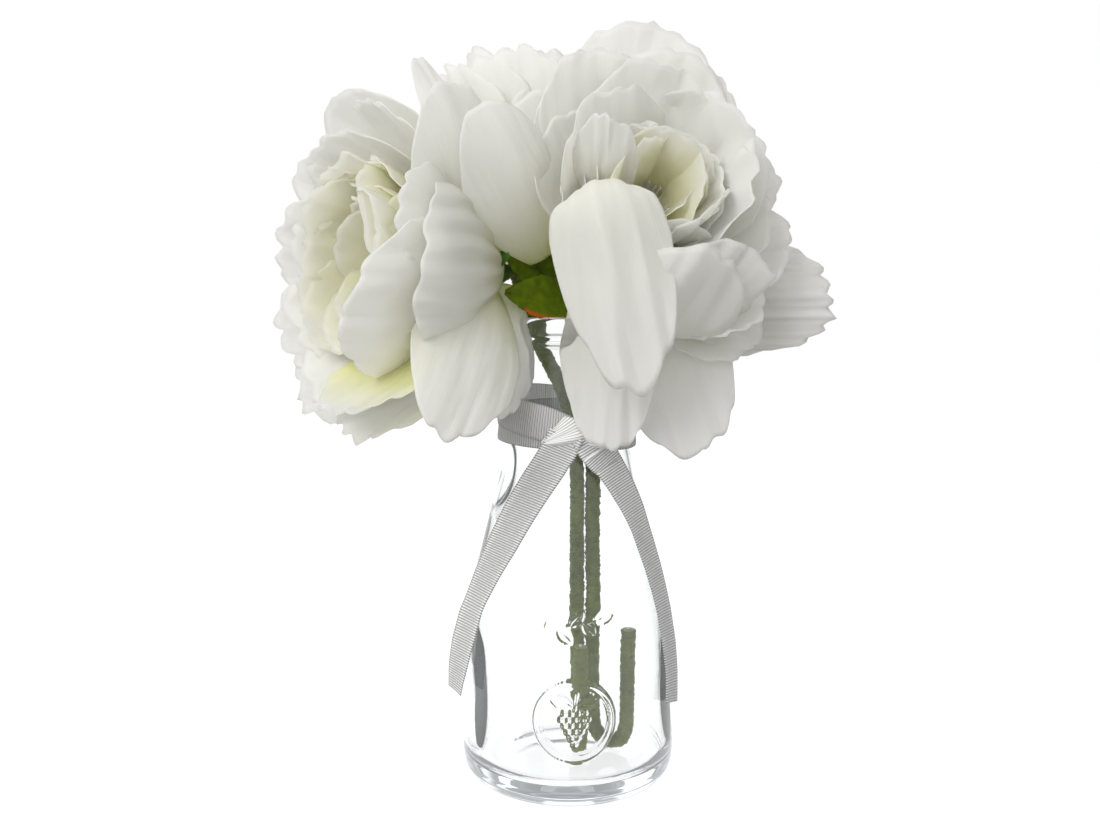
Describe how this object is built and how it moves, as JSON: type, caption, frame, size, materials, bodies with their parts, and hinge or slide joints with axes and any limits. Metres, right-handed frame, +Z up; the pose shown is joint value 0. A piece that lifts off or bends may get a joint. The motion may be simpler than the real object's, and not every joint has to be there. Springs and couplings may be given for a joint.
{
  "type": "flower arrangement in a vase",
  "caption": "Large white artificial peonies on wired stems, standing in a clear glass milk-bottle vase with a ribbon tied round its neck.",
  "frame": {"origin": "middle of the flat foot of the bottle, on the surface it stands on", "axes": "+Z up along the bottle's axis; -Y is the front, which carries the raised seal and the ribbon's knot; +X to the right of someone who faces the front"},
  "size_m": [0.2027, 0.1703, 0.2706],
  "materials": {
    "glass": "clear pressed glass, very smooth, faint cool tint in its thick edges",
    "ribbon": "light grey ribbed grosgrain ribbon, soft sheen",
    "stem": "olive green covered wire, matt and slightly fuzzy",
    "leaf": "dark green pressed fabric, satin",
    "petal": "white pressed polyester fabric, thin, matt and translucent, pale yellow-green towards the base",
    "cream_petal": "cream yellow pressed polyester fabric, thin and translucent"
  },
  "bodies": {
    "root": {"bottle": "glass", "ribbon_lower_turn": "ribbon", "ribbon_upper_turn": "ribbon", "ribbon_knot": "ribbon", "ribbon_tail_left": "ribbon", "ribbon_tail_right": "ribbon", "left_calyx": "leaf", "left_sepals": "leaf", "left_guard_petals": "petal", "left_outer_petals": "petal", "left_ruffle_petals": "petal", "left_inner_petals": "cream_petal", "left_heart": "cream_petal", "right_calyx": "leaf", "right_sepals": "leaf", "right_guard_petals": "petal", "right_outer_petals": "petal", "right_ruffle_petals": "petal", "right_inner_petals": "cream_petal", "right_heart": "cream_petal", "top_calyx": "leaf", "top_sepals": "leaf", "top_guard_petals": "petal", "top_outer_petals": "petal", "top_ruffle_petals": "petal", "top_inner_petals": "cream_petal", "top_heart": "cream_petal", "rear_calyx": "leaf", "rear_sepals": "leaf", "rear_guard_petals": "petal", "rear_outer_petals": "petal", "rear_ruffle_petals": "petal", "rear_inner_petals": "cream_petal", "rear_heart": "cream_petal", "left_spray": "stem", "right_spray": "stem", "leaf_lower": "leaf", "leaf_upper": "leaf", "leaf_rear": "leaf"}
  },
  "joints": []
}
